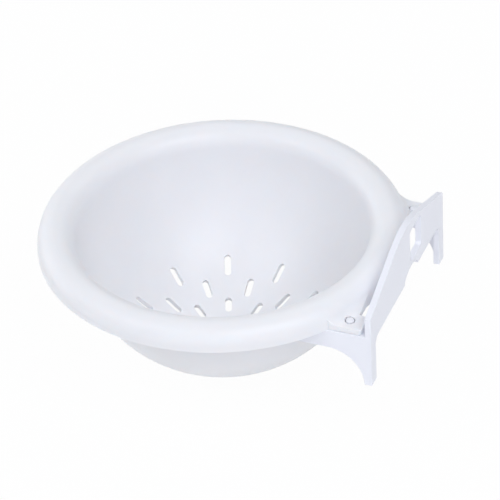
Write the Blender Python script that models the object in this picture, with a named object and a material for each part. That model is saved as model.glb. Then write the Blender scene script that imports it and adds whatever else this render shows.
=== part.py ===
"""Nest pan for small cage birds: a slotted round pan that lifts off a two-legged hanger.

Lengths are in metres and +Z is up. The origin is on the hanger's flat outer face, on the
pan's mirror plane and at the height where the rim is widest. The hanger is on the +X side.
"""
import math

import bmesh
import bpy
from mathutils import Matrix, Vector

MM = 0.001

# Pan: a round bowl whose wall rolls over into the rim
BOWL_RADIUS = 51.8 * MM
BOWL_CENTRE_RISE = 4.4 * MM
WALL = 1.7 * MM
BASE_FLAT_RADIUS = 11.0 * MM
RIM_RADIUS = 65.0 * MM
LIP_DROP = 1.6 * MM

# Ear: the flat shelf that squares off the rim towards the hanger, stepped back between its corners
EAR_HALF_WIDTH = 38.0 * MM
EAR_THICKNESS = 2.0 * MM
EAR_SETBACK = 0.6 * MM
EAR_CORNER_WIDTH = 8.2 * MM
EAR_STEP = 3.4 * MM

# Drain slots: rings of slots, staggered by half a step from one ring to the next
SLOTS_PER_RING = 10
SLOT_TURN = math.radians(2.6)
SLOT_WIDTH = 2.4 * MM
RING_ANGLES = (math.radians(37.0), math.radians(27.9), math.radians(19.6))
RING_SLOT_LENGTHS = (7.6 * MM, 7.2 * MM, 6.0 * MM)

# Hanger: an upright plate with a leg and a gusset at each end
RIM_CLEARANCE = 1.0 * MM
PLATE_THICKNESS = 2.2 * MM
PLATE_SIDE_MARGIN = 0.5 * MM
PLATE_CROWN = 18.2 * MM
PLATE_SHOULDER = 6.2 * MM
CROWN_HALF_WIDTH = 12.5 * MM
PLATE_DROP = 4.8 * MM
LEG_DROP = 22.0 * MM
LEG_WIDTH = 4.8 * MM
LEG_FILLET = 3.0 * MM
NOTCH_CENTRE = 4.0 * MM
NOTCH_HALF_WIDTH = 7.0 * MM
NOTCH_HEIGHT = 3.6 * MM
HANG_SLOT_CENTRE = 9.0 * MM
HANG_SLOT_WIDTH = 11.6 * MM
HANG_SLOT_LOWER_BAND = 2.0 * MM
HANG_SLOT_UPPER_BAND = 4.7 * MM
HANG_SLOT_CORNER = 1.2 * MM

# Gussets that reach under the rim, and the corner ledges that carry the ear
SEAT_GAP = 0.3 * MM
GUSSET_THICKNESS = 2.0 * MM
GUSSET_BOWL_GAP = 2.9 * MM
GUSSET_TIP_DEPTH = 6.9 * MM
GUSSET_SWEEP = 13.4 * MM
FOOT_RIB = 0.6 * MM
LEDGE_THICKNESS = 2.0 * MM
LEDGE_MARGIN = 1.6 * MM

# Pegs: pushed up through the ledges, they locate the ear
PEG_RADIUS = 1.5 * MM
PEG_CLEARANCE = 0.3 * MM
PEG_HEAD_OVERHANG = 0.6 * MM
PEG_HEAD_HEIGHT = 1.2 * MM
PEG_STAND = 0.7 * MM
PEG_HEAD_GAP = 0.5 * MM
EAR_HOLE_MARGIN = 3.6 * MM

# Facets
ROUND_STEPS = 60
WALL_STEPS = 14
UNDER_ROLL_STEPS = 8
ARC_STEPS = 12
END_STEPS = 6
CORNER_STEPS = 4
HOLE_STEPS = 20
SHARP_ANGLE = math.radians(30)
OVERCUT = 1.0 * MM

# Places that follow from the sizes above
PLATE_INNER = RIM_RADIUS + RIM_CLEARANCE
PLATE_OUTER = PLATE_INNER + PLATE_THICKNESS
EAR_EDGE = RIM_RADIUS - EAR_SETBACK
EAR_UNDERSIDE = -LIP_DROP
HANGER_HALF_LENGTH = EAR_HALF_WIDTH + PLATE_SIDE_MARGIN
SEAT = EAR_UNDERSIDE - SEAT_GAP
HOLE_RADIUS = PEG_RADIUS + PEG_CLEARANCE
PEG_HEAD_RADIUS = HOLE_RADIUS + PEG_HEAD_OVERHANG
PEG_X = EAR_EDGE - EAR_HOLE_MARGIN - HOLE_RADIUS
PEG_Y = HANGER_HALF_LENGTH - GUSSET_THICKNESS - PEG_HEAD_GAP - PEG_HEAD_RADIUS
NOTCH_TOP = NOTCH_HEIGHT - PLATE_DROP

# Colours and roughness of the white plastic
PAN_WHITE = (0.80, 0.81, 0.85, 1.0)
HANGER_WHITE = (0.78, 0.79, 0.84, 1.0)
PEG_WHITE = (0.82, 0.83, 0.86, 1.0)
PAN_ROUGHNESS = 0.38
HANGER_ROUGHNESS = 0.40
PEG_ROUGHNESS = 0.35


def clear_scene():
    """Remove every object that the file holds."""
    for item in list(bpy.data.objects):
        bpy.data.objects.remove(item, do_unlink=True)


def plastic(name, colour, roughness):
    """Moulded plastic of one colour."""
    material = bpy.data.materials.new(name)
    material.use_nodes = True
    shader = material.node_tree.nodes["Principled BSDF"]
    shader.inputs["Base Color"].default_value = colour
    shader.inputs["Roughness"].default_value = roughness
    shader.inputs["Metallic"].default_value = 0.0
    return material


def add_object(name, mesh_data, material=None):
    """Turn a bmesh into a named object with outward faces."""
    bmesh.ops.remove_doubles(mesh_data, verts=mesh_data.verts, dist=1e-7)
    bmesh.ops.recalc_face_normals(mesh_data, faces=mesh_data.faces)
    mesh = bpy.data.meshes.new(name)
    mesh_data.to_mesh(mesh)
    mesh_data.free()
    item = bpy.data.objects.new(name, mesh)
    bpy.context.scene.collection.objects.link(item)
    if material:
        mesh.materials.append(material)
    return item


def add_guide(name, mesh_data):
    """A shape that is only joined to, or cut from, another."""
    guide = add_object(name, mesh_data)
    guide.hide_render = True
    guide.display_type = "WIRE"
    return guide


def join_or_cut(item, guide, operation):
    """Put a live Boolean on the item."""
    modifier = item.modifiers.new(guide.name, "BOOLEAN")
    modifier.object = guide
    modifier.operation = operation
    modifier.solver = "EXACT"


def arc(centre_u, centre_v, radius_u, radius_v, start, end, steps=ARC_STEPS):
    """Points along an arc of a circle or an ellipse."""
    points = []
    for step in range(steps + 1):
        angle = start + (end - start) * step / steps
        points.append((centre_u + radius_u * math.cos(angle), centre_v + radius_v * math.sin(angle)))
    return points


def prism(outline, low, high, place):
    """Extrude a flat outline; place(u, v, w) gives the point in space."""
    mesh_data = bmesh.new()
    floor = [mesh_data.verts.new(place(u, v, low)) for u, v in outline]
    face = mesh_data.faces.new(floor)
    grown = bmesh.ops.extrude_face_region(mesh_data, geom=[face])
    shift = Vector(place(0.0, 0.0, high)) - Vector(place(0.0, 0.0, low))
    top = [part for part in grown["geom"] if isinstance(part, bmesh.types.BMVert)]
    bmesh.ops.translate(mesh_data, verts=top, vec=shift)
    return mesh_data


def gather(mesh_data, extra):
    """Add one bmesh to another as a separate body."""
    scratch = bpy.data.meshes.new("gathered")
    extra.to_mesh(scratch)
    extra.free()
    mesh_data.from_mesh(scratch)
    bpy.data.meshes.remove(scratch)


def along_x(u, v, w):
    return (w, u, v)


def along_y(u, v, w):
    return (u, w, v)


def along_z(u, v, w):
    return (u, v, w)


def turned(profile, steps):
    """Turn a half section of (radius, height) points, axis to axis, about the Z axis."""
    mesh_data = bmesh.new()
    ring = [mesh_data.verts.new((radius, 0.0, height)) for radius, height in profile]
    edges = [mesh_data.edges.new(pair) for pair in zip(ring, ring[1:])]
    bmesh.ops.spin(mesh_data, geom=ring + edges, cent=(0, 0, 0), axis=(0, 0, 1),
                   angle=math.tau, steps=steps, use_merge=True, use_duplicate=False)
    return mesh_data


def bowl_arc(radius, flat_height, top_height):
    """One side of the bowl's ball shape, from its flat up to a height."""
    start = math.asin((flat_height - BOWL_CENTRE_RISE) / radius)
    end = math.asin((top_height - BOWL_CENTRE_RISE) / radius)
    return arc(0.0, BOWL_CENTRE_RISE, radius, radius, start, end, WALL_STEPS)


def pan_profile():
    """Half section of the bowl and its rolled rim, from the inside to the underside."""
    outer_radius = BOWL_RADIUS + WALL
    underside = BOWL_CENTRE_RISE - math.sqrt(outer_radius ** 2 - BASE_FLAT_RADIUS ** 2)
    inside_floor = underside + WALL
    wall_at_rim = math.sqrt(BOWL_RADIUS ** 2 - BOWL_CENTRE_RISE ** 2)
    roll = (RIM_RADIUS - wall_at_rim) / 2
    roll_centre = RIM_RADIUS - roll
    inner_roll = roll - WALL
    tuck = BOWL_CENTRE_RISE - math.sqrt(outer_radius ** 2 - (roll_centre - inner_roll) ** 2)
    profile = [(0.0, inside_floor)]
    profile += bowl_arc(BOWL_RADIUS, inside_floor, 0.0)[:-1]
    profile += arc(roll_centre, 0.0, roll, roll, math.pi, 0.0, WALL_STEPS)
    profile += [(RIM_RADIUS, -LIP_DROP), (RIM_RADIUS - WALL, -LIP_DROP)]
    profile += arc(roll_centre, 0.0, inner_roll, inner_roll, 0.0, math.pi, UNDER_ROLL_STEPS)
    profile += bowl_arc(outer_radius, underside, min(tuck, -LIP_DROP))[::-1]
    profile.append((0.0, underside))
    return profile


def drain_slots():
    """One guide that holds every slot cutter, each square to the bowl's wall."""
    mesh_data = bmesh.new()
    for ring, (angle, length) in enumerate(zip(RING_ANGLES, RING_SLOT_LENGTHS)):
        straight = (length - SLOT_WIDTH) / 2
        end_radius = SLOT_WIDTH / 2
        outline = arc(straight, 0.0, end_radius, end_radius, -math.pi / 2, math.pi / 2, END_STEPS)
        outline += arc(-straight, 0.0, end_radius, end_radius, math.pi / 2, 3 * math.pi / 2, END_STEPS)
        for index in range(SLOTS_PER_RING):
            turn = SLOT_TURN + (index + 0.5 * (ring % 2)) * math.tau / SLOTS_PER_RING
            cutter = prism(outline, -2 * WALL - OVERCUT, OVERCUT, along_z)
            place = (Matrix.Translation((0, 0, BOWL_CENTRE_RISE)) @ Matrix.Rotation(turn, 4, "Z")
                     @ Matrix.Rotation(-angle, 4, "Y") @ Matrix.Translation((0, 0, -BOWL_RADIUS)))
            bmesh.ops.transform(cutter, matrix=place, verts=cutter.verts)
            gather(mesh_data, cutter)
    return add_guide("drain_slot_cutters", mesh_data)


def ear_shelf():
    """The flat ear, cut back to the bowl's wall so that it stays out of the inside."""
    half = EAR_HALF_WIDTH
    turn = half - EAR_CORNER_WIDTH
    middle = EAR_EDGE - EAR_STEP
    inner_edge = math.sqrt((RIM_RADIUS - WALL) ** 2 - half ** 2)
    corners = [(inner_edge, -half), (EAR_EDGE, -half), (EAR_EDGE, -turn), (middle, -turn),
               (middle, turn), (EAR_EDGE, turn), (EAR_EDGE, half), (inner_edge, half)]
    top = EAR_UNDERSIDE + EAR_THICKNESS
    shelf = add_guide("ear_shelf", prism(corners, EAR_UNDERSIDE, top, along_z))
    wall_middle = BOWL_RADIUS + WALL / 2
    clear = arc(0.0, 0.0, wall_middle, wall_middle, 0.0, math.tau, ROUND_STEPS)[:-1]
    inside = prism(clear, EAR_UNDERSIDE - OVERCUT, top + OVERCUT, along_z)
    join_or_cut(shelf, add_guide("ear_inside_cutter", inside), "DIFFERENCE")
    return shelf


def peg_holes(name, low, high):
    """Cutters for the two peg holes between two heights."""
    mesh_data = bmesh.new()
    for side in (-1, 1):
        ring = arc(PEG_X, side * PEG_Y, HOLE_RADIUS, HOLE_RADIUS, 0.0, math.tau, HOLE_STEPS)[:-1]
        gather(mesh_data, prism(ring, low, high, along_z))
    return add_guide(name, mesh_data)


def make_pan():
    """Bowl, rolled rim and ear, with the drain slots and the ear's peg holes."""
    bowl = turned(pan_profile(), ROUND_STEPS)
    pan = add_object("nest_pan", bowl, plastic("pan_plastic", PAN_WHITE, PAN_ROUGHNESS))
    join_or_cut(pan, ear_shelf(), "UNION")
    join_or_cut(pan, drain_slots(), "DIFFERENCE")
    top = EAR_UNDERSIDE + EAR_THICKNESS
    join_or_cut(pan, peg_holes("ear_hole_cutters", EAR_UNDERSIDE - OVERCUT, top + OVERCUT), "DIFFERENCE")
    return pan


def crown_line():
    """Top edge of the plate, from the +Y end to the -Y end: straight flanks and a round crown."""
    across = HANGER_HALF_LENGTH
    half = CROWN_HALF_WIDTH
    slope = (PLATE_CROWN - PLATE_SHOULDER) / (across - half / 2)
    line = [(across, PLATE_SHOULDER)]
    for step in range(ARC_STEPS + 1):
        u = half * (1 - 2 * step / ARC_STEPS)
        line.append((u, PLATE_CROWN - slope * u * u / (2 * half)))
    line.append((-across, PLATE_SHOULDER))
    return line


def leg_corner(side):
    """Inner side of a leg with its fillet, from the foot up to the plate's lower edge."""
    inner = HANGER_HALF_LENGTH - LEG_WIDTH
    points = [(inner, -LEG_DROP)]
    points += arc(inner - LEG_FILLET, -PLATE_DROP - LEG_FILLET, LEG_FILLET, LEG_FILLET,
                  0.0, math.pi / 2, END_STEPS)
    return [(side * u, v) for u, v in points]


def plate_outline():
    """Outline of the hanger's plate in its own plane."""
    across = HANGER_HALF_LENGTH
    outline = crown_line()
    outline.append((-across, -LEG_DROP))
    outline += leg_corner(-1)
    outline += arc(NOTCH_CENTRE, -PLATE_DROP, NOTCH_HALF_WIDTH, NOTCH_HEIGHT, math.pi, 0.0)
    outline += leg_corner(1)[::-1]
    outline.append((across, -LEG_DROP))
    return outline


def hang_slot():
    """Cutter for the upright slot in the plate."""
    half = HANG_SLOT_WIDTH / 2 - HANG_SLOT_CORNER
    low = NOTCH_TOP + HANG_SLOT_LOWER_BAND + HANG_SLOT_CORNER
    high = PLATE_CROWN - HANG_SLOT_UPPER_BAND - HANG_SLOT_CORNER
    outline = []
    for corner, (u, v) in enumerate(((half, high), (-half, high), (-half, low), (half, low))):
        start = corner * math.pi / 2
        outline += arc(HANG_SLOT_CENTRE + u, v, HANG_SLOT_CORNER, HANG_SLOT_CORNER,
                       start, start + math.pi / 2, CORNER_STEPS)
    cutter = prism(outline, PLATE_INNER - OVERCUT, PLATE_OUTER + OVERCUT, along_x)
    return add_guide("hang_slot_cutter", cutter)


def gusset(side):
    """End gusset: deep at the leg, it sweeps up in a hollow curve to a flat arm under the rim."""
    outer = HANGER_HALF_LENGTH
    inner = outer - GUSSET_THICKNESS
    tip = math.sqrt((BOWL_RADIUS + WALL) ** 2 - inner ** 2) + GUSSET_BOWL_GAP
    bottom = SEAT - GUSSET_TIP_DEPTH
    foot = PLATE_INNER - FOOT_RIB
    root = PLATE_INNER + PLATE_THICKNESS / 2
    outline = [(tip, SEAT), (tip, bottom)]
    outline += arc(foot - GUSSET_SWEEP, -LEG_DROP, GUSSET_SWEEP, bottom + LEG_DROP, math.pi / 2, 0.0)
    outline += [(root, -LEG_DROP), (root, SEAT)]
    arm = prism(outline, side * inner, side * outer, along_y)
    return add_guide(f"gusset_{side_name(side)}", arm)


def ledge(side):
    """Corner ledge between plate and gusset, under the ear."""
    near = PEG_X - HOLE_RADIUS - LEDGE_MARGIN
    root = PLATE_INNER + PLATE_THICKNESS / 2
    outer = side * (HANGER_HALF_LENGTH - GUSSET_THICKNESS / 2)
    inner = side * (PEG_Y - HOLE_RADIUS - LEDGE_MARGIN)
    corners = [(near, inner), (root, inner), (root, outer), (near, outer)]
    return add_guide(f"ledge_{side_name(side)}", prism(corners, SEAT - LEDGE_THICKNESS, SEAT, along_z))


def side_name(side):
    return "left" if side > 0 else "right"


def make_hanger():
    """Plate, legs, gussets and ledges as one moulding."""
    body = prism(plate_outline(), PLATE_INNER, PLATE_OUTER, along_x)
    hanger = add_object("hanger", body, plastic("hanger_plastic", HANGER_WHITE, HANGER_ROUGHNESS))
    for side in (-1, 1):
        join_or_cut(hanger, gusset(side), "UNION")
        join_or_cut(hanger, ledge(side), "UNION")
    join_or_cut(hanger, hang_slot(), "DIFFERENCE")
    low = SEAT - LEDGE_THICKNESS - OVERCUT
    join_or_cut(hanger, peg_holes("ledge_hole_cutters", low, SEAT + OVERCUT), "DIFFERENCE")
    return hanger


def peg_profile():
    """Half section of a peg: domed tip, shank and flat head."""
    tip = EAR_UNDERSIDE + EAR_THICKNESS + PEG_STAND
    head_top = SEAT - LEDGE_THICKNESS - SEAT_GAP
    head_bottom = head_top - PEG_HEAD_HEIGHT
    profile = arc(0.0, tip - PEG_RADIUS, PEG_RADIUS, PEG_RADIUS, math.pi / 2, 0.0, END_STEPS)
    profile += [(PEG_RADIUS, head_top), (PEG_HEAD_RADIUS, head_top)]
    profile += [(PEG_HEAD_RADIUS, head_bottom), (0.0, head_bottom)]
    profile[0] = (0.0, tip)
    return profile


def make_peg(side):
    """Locating peg, pushed up through a ledge from below."""
    name = f"peg_{side_name(side)}"
    material = plastic(f"{name}_plastic", PEG_WHITE, PEG_ROUGHNESS)
    peg = add_object(name, turned(peg_profile(), HOLE_STEPS), material)
    peg.location = (PEG_X, side * PEG_Y, 0.0)
    return peg


def make_nest():
    """Every piece, hung from one empty on the bowl's axis."""
    axis = bpy.data.objects.new("bowl_axis", None)
    bpy.context.scene.collection.objects.link(axis)
    pieces = [make_pan(), make_hanger(), make_peg(1), make_peg(-1)]
    guides = [item for item in bpy.data.objects if item.hide_render]
    for item in pieces + guides:
        item.parent = axis
    axis.location = (-PLATE_OUTER, 0.0, 0.0)
    for piece in pieces:
        piece.data.shade_smooth()
        piece.data.set_sharp_from_angle(angle=SHARP_ANGLE)


clear_scene()
make_nest()
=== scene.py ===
import math

import bpy
from mathutils import Matrix, Vector


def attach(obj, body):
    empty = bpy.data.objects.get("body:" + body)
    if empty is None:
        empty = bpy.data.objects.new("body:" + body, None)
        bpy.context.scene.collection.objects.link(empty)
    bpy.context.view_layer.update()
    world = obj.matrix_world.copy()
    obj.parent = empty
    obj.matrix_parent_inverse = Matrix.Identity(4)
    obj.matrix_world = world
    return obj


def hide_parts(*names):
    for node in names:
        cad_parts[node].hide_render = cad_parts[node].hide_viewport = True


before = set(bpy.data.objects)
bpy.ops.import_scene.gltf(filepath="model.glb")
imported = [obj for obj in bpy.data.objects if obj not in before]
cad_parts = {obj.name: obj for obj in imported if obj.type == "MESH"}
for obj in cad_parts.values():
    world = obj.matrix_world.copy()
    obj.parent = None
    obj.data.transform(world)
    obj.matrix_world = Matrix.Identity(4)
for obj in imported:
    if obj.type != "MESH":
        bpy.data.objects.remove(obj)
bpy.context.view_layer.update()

MM = 0.001

# Sizes of the nest pan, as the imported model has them
PLATE_OUTER = 68.2 * MM
AXIS = Vector((-PLATE_OUTER, 0.0, 0.0))
BOWL_RADIUS = 51.8 * MM
BOWL_CENTRE_RISE = 4.4 * MM
WALL = 1.7 * MM
RIM_RADIUS = 65.0 * MM
LIP_DROP = 1.6 * MM
BASE_FLAT_RADIUS = 11.0 * MM
BASE = BOWL_CENTRE_RISE - math.sqrt((BOWL_RADIUS + WALL) ** 2 - BASE_FLAT_RADIUS ** 2)

EAR_HALF_WIDTH = 38.0 * MM
EAR_THICKNESS = 2.0 * MM
EAR_EDGE = 64.4 * MM
EAR_MIDDLE = 61.0 * MM
EAR_CORNER = 29.8 * MM
EAR_ROOT = math.sqrt((RIM_RADIUS - WALL) ** 2 - EAR_HALF_WIDTH ** 2)
EAR_TOP = EAR_THICKNESS - LIP_DROP
EAR_OVERHANG = 0.03 * MM
EAR_BOTTOM = -LIP_DROP - EAR_OVERHANG
EAR_FILLET = 6.0 * MM
EAR_CORNER_ROUND = 1.0 * MM

SLOTS_PER_RING = 10
SLOT_TURN = math.radians(2.6)
SLOT_WIDTH = 2.4 * MM
RING_ANGLES = (37.0, 27.9, 19.6)
RING_SLOT_LENGTHS = (7.6 * MM, 7.2 * MM, 6.0 * MM)

PLATE_INNER = 66.0 * MM
HANGER_HALF_LENGTH = 38.5 * MM
PLATE_CROWN = 18.2 * MM
PLATE_SHOULDER = 6.2 * MM
CROWN_HALF_WIDTH = 12.5 * MM
PLATE_DROP = 4.8 * MM
LEG_DROP = 22.0 * MM
LEG_WIDTH = 4.8 * MM
LEG_FILLET = 3.0 * MM
NOTCH_CENTRE = 4.0 * MM
NOTCH_HALF_WIDTH = 7.0 * MM
NOTCH_HEIGHT = 3.6 * MM
HANG_SLOT = (3.2 * MM, 14.8 * MM, 0.8 * MM, 13.5 * MM)
HANG_SLOT_CORNER = 1.2 * MM
SEAT = -1.9 * MM
REST_GAP = 0.02 * MM
REST = EAR_BOTTOM - REST_GAP
GUSSET_THICKNESS = 2.0 * MM
GUSSET_INNER = HANGER_HALF_LENGTH - GUSSET_THICKNESS
GUSSET_BOWL_GAP = 2.9 * MM
GUSSET_TIP = math.sqrt((BOWL_RADIUS + WALL) ** 2 - GUSSET_INNER ** 2) + GUSSET_BOWL_GAP
GUSSET_TIP_DEPTH = 6.9 * MM
GUSSET_SWEEP = 13.4 * MM
FOOT = 65.4 * MM
LEDGE_THICKNESS = 2.0 * MM
LEDGE_NEAR = 55.6 * MM
LEDGE_INNER = 30.2 * MM
PEG_RADIUS = 1.5 * MM
PEG_RISE = 0.7 * MM
PEG_DOME = 0.8 * MM
PEG_HEAD_RADIUS = 2.4 * MM
PEG_HEAD_HEIGHT = 1.2 * MM
PEG_HEAD_ROUND = 0.25 * MM
PEG_PLAY = 0.3 * MM
PEG_X = 59.0 * MM
PEG_Y = 33.6 * MM
HOLE_RADIUS = 1.8 * MM

EDGE_ROUND = 0.35 * MM

# Points nearer than these count as one
TOUCH = 1e-6
SPUN = 1e-7
CUT = 2e-6


# Working by hand in edit mode

def begin(name):
    """Name the fresh primitive and open it for editing."""
    piece = bpy.context.active_object
    piece.name = name
    piece.data.name = name
    bpy.ops.object.mode_set(mode="EDIT")
    return piece


def leave():
    """Back to object mode."""
    bpy.ops.object.mode_set(mode="OBJECT")


def clear_selection():
    bpy.ops.object.select_all(action="DESELECT")


def take(piece):
    """Make the piece the only selected and the active one."""
    clear_selection()
    piece.select_set(True)
    bpy.context.view_layer.objects.active = piece


def pick(piece, kind, test):
    """Select the edges or faces whose corners pass the test."""
    bpy.ops.mesh.select_mode(type=kind)
    bpy.ops.mesh.select_all(action="DESELECT")
    leave()
    mesh = piece.data
    parts = {"EDGE": mesh.edges, "FACE": mesh.polygons}[kind]
    for part in parts:
        part.select = test([piece.matrix_world @ mesh.vertices[index].co for index in part.vertices])
    bpy.ops.object.mode_set(mode="EDIT")


def settle(piece):
    """Put the place into the mesh, so that the object sits at the origin."""
    take(piece)
    bpy.ops.object.transform_apply(location=True, rotation=True, scale=True)


def use(piece, kind, **settings):
    """Add a modifier and apply it."""
    take(piece)
    modifier = piece.modifiers.new(kind.title(), kind)
    for key, value in settings.items():
        setattr(modifier, key, value)
    bpy.ops.object.modifier_apply(modifier=modifier.name)


def unite(piece, other, operation="UNION"):
    """Join the other shape to the piece, or cut it away, and drop it."""
    use(piece, "BOOLEAN", object=other, operation=operation, solver="EXACT")
    bpy.data.objects.remove(other, do_unlink=True)


def smooth(piece, degrees):
    """Shade smooth, and keep edges sharper than the angle."""
    take(piece)
    bpy.ops.object.shade_smooth_by_angle(angle=math.radians(degrees))


def tidy(piece, flat=0.0):
    """Merge what the cuts left lying together and face everything outwards."""
    take(piece)
    bpy.ops.object.mode_set(mode="EDIT")
    bpy.ops.mesh.select_all(action="SELECT")
    bpy.ops.mesh.remove_doubles(threshold=CUT)
    bpy.ops.mesh.dissolve_degenerate(threshold=CUT)
    if flat:
        bpy.ops.mesh.dissolve_limited(angle_limit=math.radians(flat))
    bpy.ops.mesh.select_all(action="SELECT")
    bpy.ops.mesh.normals_make_consistent(inside=False)
    leave()


def arc(centre_u, centre_v, radius_u, radius_v, start, end, steps):
    """Points along an arc, angles in degrees."""
    points = []
    for step in range(steps + 1):
        angle = math.radians(start + (end - start) * step / steps)
        u = centre_u + radius_u * math.cos(angle)
        v = centre_v + radius_v * math.sin(angle)
        points.append((u, v))
    return points


def draw_outline(name, points):
    """Draw a closed outline by pulling one vertex along its points, and fill it."""
    clear_selection()
    bpy.ops.mesh.primitive_plane_add(size=1 * MM, location=points[0])
    piece = begin(name)
    bpy.ops.mesh.select_mode(type="VERT")
    bpy.ops.mesh.select_all(action="SELECT")
    bpy.ops.mesh.merge(type="CENTER")
    for here, there in zip(points, points[1:]):
        step = Vector(there) - Vector(here)
        bpy.ops.mesh.extrude_vertices_move(TRANSFORM_OT_translate={"value": step})
    bpy.ops.mesh.select_all(action="SELECT")
    bpy.ops.mesh.edge_face_add()
    return piece


def slab(name, points, thickness):
    """A flat outline pulled out into a slab along a vector."""
    piece = draw_outline(name, points)
    bpy.ops.mesh.extrude_region_move(TRANSFORM_OT_translate={"value": thickness})
    bpy.ops.mesh.select_all(action="SELECT")
    bpy.ops.mesh.normals_make_consistent(inside=False)
    leave()
    settle(piece)
    return piece


# Pan

def roll_sizes():
    """Centre distance and radius of the rolled rim."""
    wall_at_rim = math.sqrt(BOWL_RADIUS ** 2 - BOWL_CENTRE_RISE ** 2)
    radius = (RIM_RADIUS - wall_at_rim) / 2
    return RIM_RADIUS - radius, radius


def pan_shell():
    """A ball cut to a bowl, its edge pulled over into the rolled rim, then given its wall."""
    clear_selection()
    middle = AXIS + Vector((0, 0, BOWL_CENTRE_RISE))
    bpy.ops.mesh.primitive_uv_sphere_add(
        segments=180, ring_count=96, radius=BOWL_RADIUS, location=middle)
    shell = begin("pan_shell")
    bpy.ops.mesh.select_all(action="SELECT")
    bpy.ops.mesh.bisect(plane_co=AXIS, plane_no=(0, 0, 1), clear_outer=True)
    floor = AXIS + Vector((0, 0, BASE + WALL))
    bpy.ops.mesh.select_all(action="SELECT")
    bpy.ops.mesh.bisect(plane_co=floor, plane_no=(0, 0, 1), clear_inner=True, use_fill=True)
    pick(shell, "EDGE", lambda ends: all(abs(end.z) < TOUCH for end in ends))
    centre, radius = roll_sizes()
    line = arc(centre, 0.0, radius, radius, 180, 0, steps=36)
    line += [(RIM_RADIUS, -LIP_DROP / 2), (RIM_RADIUS, -LIP_DROP)]
    for (near, low), (far, high) in zip(line, line[1:]):
        bpy.ops.mesh.extrude_edges_move(TRANSFORM_OT_translate={"value": (0, 0, high - low)})
        grow = far / near
        bpy.ops.transform.resize(value=(grow, grow, 1), center_override=AXIS)
    bpy.ops.mesh.select_all(action="SELECT")
    bpy.ops.mesh.remove_doubles(threshold=TOUCH)
    leave()
    settle(shell)
    use(shell, "SOLIDIFY", thickness=WALL, offset=1.0, use_even_offset=True, use_rim=True)
    return shell


def ear_wedge():
    """The ear's section turned about the bowl's axis, then cut off square."""
    centre, radius = roll_sizes()
    overlap = 0.06 * MM
    spare = 12 * MM
    rise = EAR_TOP + EAR_FILLET
    reach = math.sqrt((radius + EAR_FILLET - overlap) ** 2 - rise ** 2)
    lean = math.degrees(math.atan2(rise, reach))
    hollow = arc(centre + reach, rise, EAR_FILLET, EAR_FILLET, 270, 180 + lean, steps=12)
    inside = radius - WALL / 2
    up = math.radians(lean)
    end = centre + reach + spare
    root = BOWL_RADIUS + WALL / 2
    section = [(end, EAR_BOTTOM), (end, EAR_TOP)] + hollow
    section += [(centre + inside * math.cos(up), inside * math.sin(up)), (centre + inside, EAR_TOP)]
    section += [(root, EAR_TOP), (root, EAR_BOTTOM)]
    swing = math.radians(48)
    turned = Matrix.Rotation(-swing, 3, "Z")
    points = [AXIS + turned @ Vector((far, 0, high)) for far, high in section]
    ear = draw_outline("pan_ear", points)
    bpy.ops.mesh.spin(steps=96, angle=-2 * swing, center=AXIS, axis=(0, 0, 1))
    bpy.ops.mesh.select_all(action="SELECT")
    bpy.ops.mesh.remove_doubles(threshold=SPUN)
    bpy.ops.mesh.normals_make_consistent(inside=False)
    cuts = [((EAR_EDGE, 0, 0), (1, 0, 0)), ((EAR_ROOT, 0, 0), (-1, 0, 0)),
            ((0, EAR_HALF_WIDTH, 0), (0, 1, 0)), ((0, -EAR_HALF_WIDTH, 0), (0, -1, 0))]
    for place, facing in cuts:
        bpy.ops.mesh.select_all(action="SELECT")
        bpy.ops.mesh.bisect(
            plane_co=AXIS + Vector(place), plane_no=facing, clear_outer=True, use_fill=True)
    leave()
    settle(ear)
    unite(ear, ear_recess(), "DIFFERENCE")
    bpy.ops.object.mode_set(mode="EDIT")
    edge_x = AXIS.x + EAR_EDGE
    pick(ear, "EDGE", lambda ends: all(abs(end.x - edge_x) < TOUCH for end in ends)
         and all(abs(end.y - ends[0].y) < TOUCH for end in ends)
         and abs(ends[0].z - ends[1].z) > EAR_THICKNESS / 2)
    bpy.ops.mesh.bevel(offset=EAR_CORNER_ROUND, segments=5, affect="EDGES")
    bpy.ops.mesh.select_all(action="SELECT")
    bpy.ops.mesh.normals_make_consistent(inside=False)
    leave()
    return ear


def ear_recess():
    """A block that sets the ear's middle back from its two corners."""
    far = RIM_RADIUS + WALL
    line = [(EAR_MIDDLE, -EAR_CORNER), (far, -EAR_CORNER),
            (far, EAR_CORNER), (EAR_MIDDLE, EAR_CORNER)]
    points = [AXIS + Vector((u, v, EAR_BOTTOM - WALL)) for u, v in line]
    return slab("ear_recess", points, (0, 0, RIM_RADIUS / 2))


def slot_cutter(length):
    """A bar with round ends, lying along X through the wall."""
    clear_selection()
    bpy.ops.mesh.primitive_cube_add(
        size=1, location=(0, 0, 0), scale=(length, SLOT_WIDTH, 4 * WALL))
    cutter = bpy.context.active_object
    settle(cutter)
    begin("slot_cutter")
    pick(cutter, "EDGE", lambda ends: abs(ends[0].z - ends[1].z) > WALL)
    bpy.ops.mesh.bevel(offset=SLOT_WIDTH * 0.499, segments=10, affect="EDGES")
    leave()
    return cutter


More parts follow.
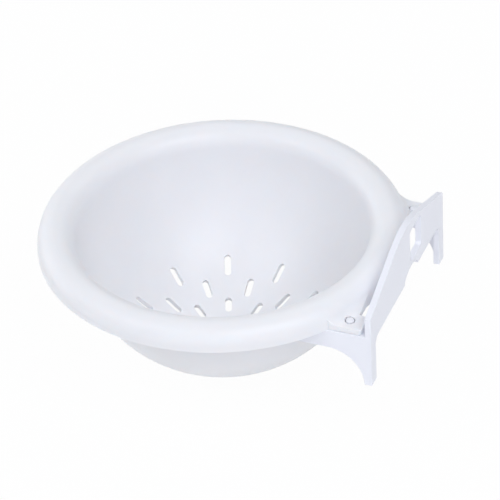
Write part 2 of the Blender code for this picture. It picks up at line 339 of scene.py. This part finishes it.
def drain_slots():
    """Cutters for the staggered rings of slots, joined into one shape."""
    cutters = []
    for ring, (angle, length) in enumerate(zip(RING_ANGLES, RING_SLOT_LENGTHS)):
        first = slot_cutter(length)
        for index in range(SLOTS_PER_RING):
            turn = SLOT_TURN + (index + 0.5 * (ring % 2)) * math.tau / SLOTS_PER_RING
            copy = first.copy()
            copy.data = first.data.copy()
            bpy.context.scene.collection.objects.link(copy)
            copy.matrix_world = (Matrix.Translation(AXIS + Vector((0, 0, BOWL_CENTRE_RISE)))
                                 @ Matrix.Rotation(turn, 4, "Z")
                                 @ Matrix.Rotation(-math.radians(angle), 4, "Y")
                                 @ Matrix.Translation((0, 0, -BOWL_RADIUS - WALL / 2)))
            cutters.append(copy)
        bpy.data.objects.remove(first, do_unlink=True)
    clear_selection()
    for cutter in cutters:
        cutter.select_set(True)
    bpy.context.view_layer.objects.active = cutters[0]
    bpy.ops.object.join()
    joined = bpy.context.active_object
    settle(joined)
    return joined


def hole_cutter(side):
    """A round bar through ear and ledge for one peg."""
    clear_selection()
    place = AXIS + Vector((PEG_X, side * PEG_Y, 0))
    bpy.ops.mesh.primitive_cylinder_add(
        vertices=48, radius=HOLE_RADIUS, depth=30 * MM, location=place)
    cutter = bpy.context.active_object
    settle(cutter)
    return cutter


def make_pan():
    """Shell, ear, slots and peg holes."""
    pan = pan_shell()
    unite(pan, ear_wedge())
    unite(pan, drain_slots(), "DIFFERENCE")
    for side in (-1, 1):
        unite(pan, hole_cutter(side), "DIFFERENCE")
    pan.name = "pan_moulding"
    tidy(pan)
    smooth(pan, 38)
    return pan


# Hanger

def plate_slab():
    """The arched plate with its legs and its notch, as one outline pulled to its thickness."""
    across = HANGER_HALF_LENGTH
    half = CROWN_HALF_WIDTH
    slope = (PLATE_CROWN - PLATE_SHOULDER) / (across - half / 2)
    line = [(across, PLATE_SHOULDER)]
    crown_steps = 24
    for step in range(crown_steps + 1):
        u = half * (1 - step / (crown_steps / 2))
        line.append((u, PLATE_CROWN - slope * u * u / (2 * half)))
    line += [(-across, PLATE_SHOULDER), (-across, -LEG_DROP)]
    inner = across - LEG_WIDTH
    corner = [(inner, -LEG_DROP)]
    corner += arc(inner - LEG_FILLET, -PLATE_DROP - LEG_FILLET, LEG_FILLET, LEG_FILLET, 0, 90, steps=8)
    line += [(-u, v) for u, v in corner]
    line += arc(NOTCH_CENTRE, -PLATE_DROP, NOTCH_HALF_WIDTH, NOTCH_HEIGHT, 180, 0, steps=24)
    line += corner[::-1]
    line.append((across, -LEG_DROP))
    points = [AXIS + Vector((PLATE_INNER, u, v)) for u, v in line]
    return slab("hanger_moulding", points, (PLATE_OUTER - PLATE_INNER, 0, 0))


def gusset_slab(side):
    """End gusset with its hollow lower edge and its arm under the rim."""
    bottom = SEAT - GUSSET_TIP_DEPTH
    root = (PLATE_INNER + PLATE_OUTER) / 2
    line = [(GUSSET_TIP, REST), (GUSSET_TIP, bottom)]
    line += arc(FOOT - GUSSET_SWEEP, -LEG_DROP, GUSSET_SWEEP, bottom + LEG_DROP, 90, 0, steps=20)
    line += [(root, -LEG_DROP), (root, REST)]
    outer = side * HANGER_HALF_LENGTH
    points = [AXIS + Vector((u, outer, v)) for u, v in line]
    return slab("gusset", points, (0, -side * GUSSET_THICKNESS, 0))


def ledge_slab(side):
    """Corner ledge under the ear."""
    root = (PLATE_INNER + PLATE_OUTER) / 2
    outer = side * (HANGER_HALF_LENGTH - GUSSET_THICKNESS / 2)
    inner = side * LEDGE_INNER
    line = [(LEDGE_NEAR, inner), (root, inner), (root, outer), (LEDGE_NEAR, outer)]
    points = [AXIS + Vector((u, v, REST)) for u, v in line]
    return slab("ledge", points, (0, 0, SEAT - LEDGE_THICKNESS - REST))


def hang_slot_cutter():
    """Upright rounded bar for the plate's slot."""
    near, far, low, high = HANG_SLOT
    depth = 8 * MM
    clear_selection()
    place = AXIS + Vector(((PLATE_INNER + PLATE_OUTER) / 2, (near + far) / 2, (low + high) / 2))
    bpy.ops.mesh.primitive_cube_add(size=1, location=place, scale=(depth, far - near, high - low))
    cutter = bpy.context.active_object
    settle(cutter)
    begin("hang_slot_cutter")
    pick(cutter, "EDGE", lambda ends: abs(ends[0].x - ends[1].x) > depth / 2)
    bpy.ops.mesh.bevel(offset=HANG_SLOT_CORNER, segments=6, affect="EDGES")
    leave()
    return cutter


def make_hanger():
    """Plate, gussets and ledges joined, with the slot, the peg holes and softened edges."""
    hanger = plate_slab()
    for side in (-1, 1):
        unite(hanger, gusset_slab(side))
        unite(hanger, ledge_slab(side))
    unite(hanger, hang_slot_cutter(), "DIFFERENCE")
    for side in (-1, 1):
        unite(hanger, hole_cutter(side), "DIFFERENCE")
    tidy(hanger, flat=0.5)
    use(hanger, "BEVEL", width=EDGE_ROUND, segments=3,
        limit_method="ANGLE", angle_limit=math.radians(40))
    smooth(hanger, 35)
    use(hanger, "WEIGHTED_NORMAL", keep_sharp=True)
    return hanger


# Pegs

def make_peg(name, side):
    """A bar pulled out to a flat head below and a soft dome above."""
    tip = EAR_TOP + PEG_RISE
    head_top = SEAT - LEDGE_THICKNESS - PEG_PLAY
    low = head_top - PEG_HEAD_HEIGHT
    clear_selection()
    place = AXIS + Vector((PEG_X, side * PEG_Y, (tip + head_top) / 2))
    bpy.ops.mesh.primitive_cylinder_add(
        vertices=40, radius=PEG_RADIUS, depth=tip - head_top, location=place)
    peg = begin(name)
    pick(peg, "FACE", lambda ends: all(abs(end.z - head_top) < TOUCH for end in ends))
    bpy.ops.mesh.extrude_region_move()
    grow = PEG_HEAD_RADIUS / PEG_RADIUS
    bpy.ops.transform.resize(value=(grow, grow, 1), center_override=place)
    bpy.ops.mesh.extrude_region_move(TRANSFORM_OT_translate={"value": (0, 0, -PEG_HEAD_HEIGHT)})
    pick(peg, "EDGE", lambda ends: all(abs(end.z - tip) < TOUCH for end in ends))
    bpy.ops.mesh.bevel(offset=PEG_DOME, segments=6, affect="EDGES")
    pick(peg, "EDGE", lambda ends: all(abs(end.z - low) < TOUCH for end in ends))
    bpy.ops.mesh.bevel(offset=PEG_HEAD_ROUND, segments=3, affect="EDGES")
    leave()
    settle(peg)
    smooth(peg, 40)
    return peg


# White moulded plastic

class Wire:
    """A socket in a material, with arithmetic that adds Math nodes."""

    def __init__(self, board, socket):
        self.board = board
        self.socket = socket

    def __add__(self, other):
        return self.board.math("ADD", self, other)

    def __sub__(self, other):
        return self.board.math("SUBTRACT", self, other)

    def __rsub__(self, other):
        return self.board.math("SUBTRACT", other, self)

    def __mul__(self, other):
        return self.board.math("MULTIPLY", self, other)

    __radd__ = __add__
    __rmul__ = __mul__


class Board:
    """The node tree of one material or of the world."""

    def __init__(self, tree):
        self.tree = tree
        self.tree.nodes.clear()

    def add(self, kind, settings=None, output=0, **sockets):
        """Add a node. A socket goes by its name, with _ for a space, or by i and its number."""
        node = self.tree.nodes.new(kind)
        for key, value in (settings or {}).items():
            setattr(node, key, value)
        for key, value in sockets.items():
            by_number = key[0] == "i" and key[1:].isdigit()
            target = node.inputs[int(key[1:]) if by_number else key.replace("_", " ")]
            if isinstance(value, Wire):
                self.tree.links.new(value.socket, target)
            else:
                target.default_value = value
        return Wire(self, node.outputs[output]) if node.outputs else node

    def math(self, operation, first, second):
        return self.add("ShaderNodeMath", {"operation": operation}, i0=first, i1=second)


def plastic(name, tint, roughness, milkiness):
    """Satin white plastic: faint clouding, uneven polish and the fine grain of the mould.

    The milkiness is how much light goes a little way under the skin.
    """
    material = bpy.data.materials.new(name)
    material.use_nodes = True
    board = Board(material.node_tree)
    place = board.add("ShaderNodeTexCoord", output="Object")
    cloud = board.add("ShaderNodeTexNoise", Vector=place, Scale=45.0, Detail=3.0, Roughness=0.55)
    polish = board.add("ShaderNodeTexNoise", Vector=place, Scale=160.0, Detail=4.0, Roughness=0.6)
    grain = board.add("ShaderNodeTexNoise", Vector=place, Scale=1400.0, Detail=3.0, Roughness=0.6)
    paler, deeper, unevenness = 1.02, 0.975, 0.16
    pale = tuple(channel * paler for channel in tint) + (1.0,)
    deep = tuple(channel * deeper for channel in tint) + (1.0,)
    colour = board.add("ShaderNodeMix", {"data_type": "RGBA"}, output=2, i0=cloud, i6=deep, i7=pale)
    gloss = (polish - 0.5) * unevenness + roughness
    sink = board.add("ShaderNodeBump", Strength=0.10, Distance=0.4 * MM, Height=cloud)
    relief = board.add("ShaderNodeBump", Strength=0.06, Distance=0.04 * MM, Height=grain, Normal=sink)
    shader = board.add("ShaderNodeBsdfPrincipled", Base_Color=colour, Roughness=gloss, Normal=relief,
                       IOR=1.49, Subsurface_Weight=milkiness, Subsurface_Scale=0.8 * MM,
                       Subsurface_Radius=(1.0, 0.9, 0.85))
    board.add("ShaderNodeOutputMaterial", Surface=shader)
    return material


def dress(piece, material, body, node):
    """Give a finished piece its plastic and its place in the frame."""
    piece.data.materials.clear()
    piece.data.materials.append(material)
    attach(piece, body)
    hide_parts(node)


# Studio

def place_camera():
    """Long lens, looking down at the pan from the front, with the hanger on the right."""
    azimuth = math.radians(22.3)
    elevation = math.radians(36.638)
    roll = math.radians(2.83)
    distance = 1398.585 * MM
    across = -9.48992 * MM
    above = 5.52817 * MM
    lens_per_sensor = 8.0
    back = Vector((math.sin(azimuth) * math.cos(elevation),
                   -math.cos(azimuth) * math.cos(elevation),
                   math.sin(elevation)))
    level = Vector((math.cos(azimuth), math.sin(azimuth), 0))
    upright = back.cross(level)
    right = math.cos(roll) * level - math.sin(roll) * upright
    up = math.sin(roll) * level + math.cos(roll) * upright
    spot = AXIS + distance * back - across * right - above * up
    data = bpy.data.cameras.new("camera")
    data.sensor_width = 36.0
    data.lens = lens_per_sensor * data.sensor_width
    camera = bpy.data.objects.new("camera", data)
    camera.matrix_world = Matrix((
        (right.x, up.x, back.x, spot.x),
        (right.y, up.y, back.y, spot.y),
        (right.z, up.z, back.z, spot.z),
        (0, 0, 0, 1)))
    bpy.context.scene.collection.objects.link(camera)
    bpy.context.scene.camera = camera


def lay_floor():
    """White table top that shows nearly white and still takes a soft shadow."""
    gap = 0.2 * MM
    whiteness = 0.97
    clear_selection()
    bpy.ops.mesh.primitive_plane_add(size=6, location=(0, 0, BASE - gap))
    floor = bpy.context.active_object
    floor.name = "table_top"
    material = bpy.data.materials.new("table_white")
    material.use_nodes = True
    board = Board(material.node_tree)
    camera_ray = board.add("ShaderNodeLightPath", output="Is Camera Ray")
    glossy_ray = board.add("ShaderNodeLightPath", output="Is Glossy Ray")
    through_ray = board.add("ShaderNodeLightPath", output="Is Transmission Ray")
    seen = board.math("MAXIMUM", board.math("MAXIMUM", camera_ray, glossy_ray), through_ray)
    paint = board.add("ShaderNodeBsdfDiffuse", Color=(0.9, 0.9, 0.9, 1))
    glow = board.add("ShaderNodeEmission", Color=(1, 1, 1, 1), Strength=1.0)
    surface = board.add("ShaderNodeMixShader", i0=seen * whiteness, i1=paint, i2=glow)
    board.add("ShaderNodeOutputMaterial", Surface=surface)
    floor.data.materials.append(material)


def softbox(name, spot, power, colour):
    """A square lamp that faces the pan."""
    data = bpy.data.lights.new(name, "AREA")
    data.shape = "SQUARE"
    data.size = 1.1
    data.energy = power
    data.color = colour
    lamp = bpy.data.objects.new(name, data)
    lamp.location = spot
    lamp.rotation_euler = (AXIS - Vector(spot)).to_track_quat("-Z", "Y").to_euler()
    bpy.context.scene.collection.objects.link(lamp)


def light_studio():
    """Light tent: an even white surround and soft lamps all round."""
    world = bpy.data.worlds.new("tent")
    bpy.context.scene.world = world
    world.use_nodes = True
    board = Board(world.node_tree)
    surround = board.add("ShaderNodeBackground", Color=(0.94, 0.965, 1.0, 1), Strength=0.32)
    board.add("ShaderNodeOutputWorld", Surface=surround)
    cool = (0.90, 0.925, 1.0)
    soft = (0.95, 0.97, 1.0)
    softbox("key", (0.6, -1.5, 1.1), 4.2, cool)
    softbox("low_front", (0.2, -1.7, 0.2), 3.7, cool)
    softbox("left", (-1.75, 0.2, 0.2), 7.6, soft)
    softbox("left_back", (-1.3, 1.1, 0.35), 3.1, soft)
    softbox("high_left", (-0.9, -0.9, 1.4), 7.4, soft)
    softbox("high_back", (0.0, 1.1, 1.5), 5.6, soft)
    softbox("high_right", (0.9, -0.7, 1.5), 12.4, soft)
    softbox("low_right", (1.7, -0.4, 0.15), 3.4, cool)
    bpy.context.scene.view_settings.view_transform = "Standard"


pan_white = plastic("pan_plastic", (0.88, 0.88, 0.906), 0.38, 0.9)
# The hanger's tint is partly painted light: the plastic's own white, made cooler and paler to stand in
# for the bluish light from the front.
hanger_white_painted_cool_light = plastic("hanger_plastic", (0.90, 0.905, 0.965), 0.40, 0.0)
peg_white = plastic("peg_plastic", (0.885, 0.888, 0.935), 0.36, 0.0)
dress(make_pan(), pan_white, "pan", "nest_pan")
dress(make_hanger(), hanger_white_painted_cool_light, "hanger", "hanger")
dress(make_peg("left_peg", 1), peg_white, "hanger", "peg_left")
dress(make_peg("right_peg", -1), peg_white, "hanger", "peg_right")
lay_floor()
light_studio()
place_camera()
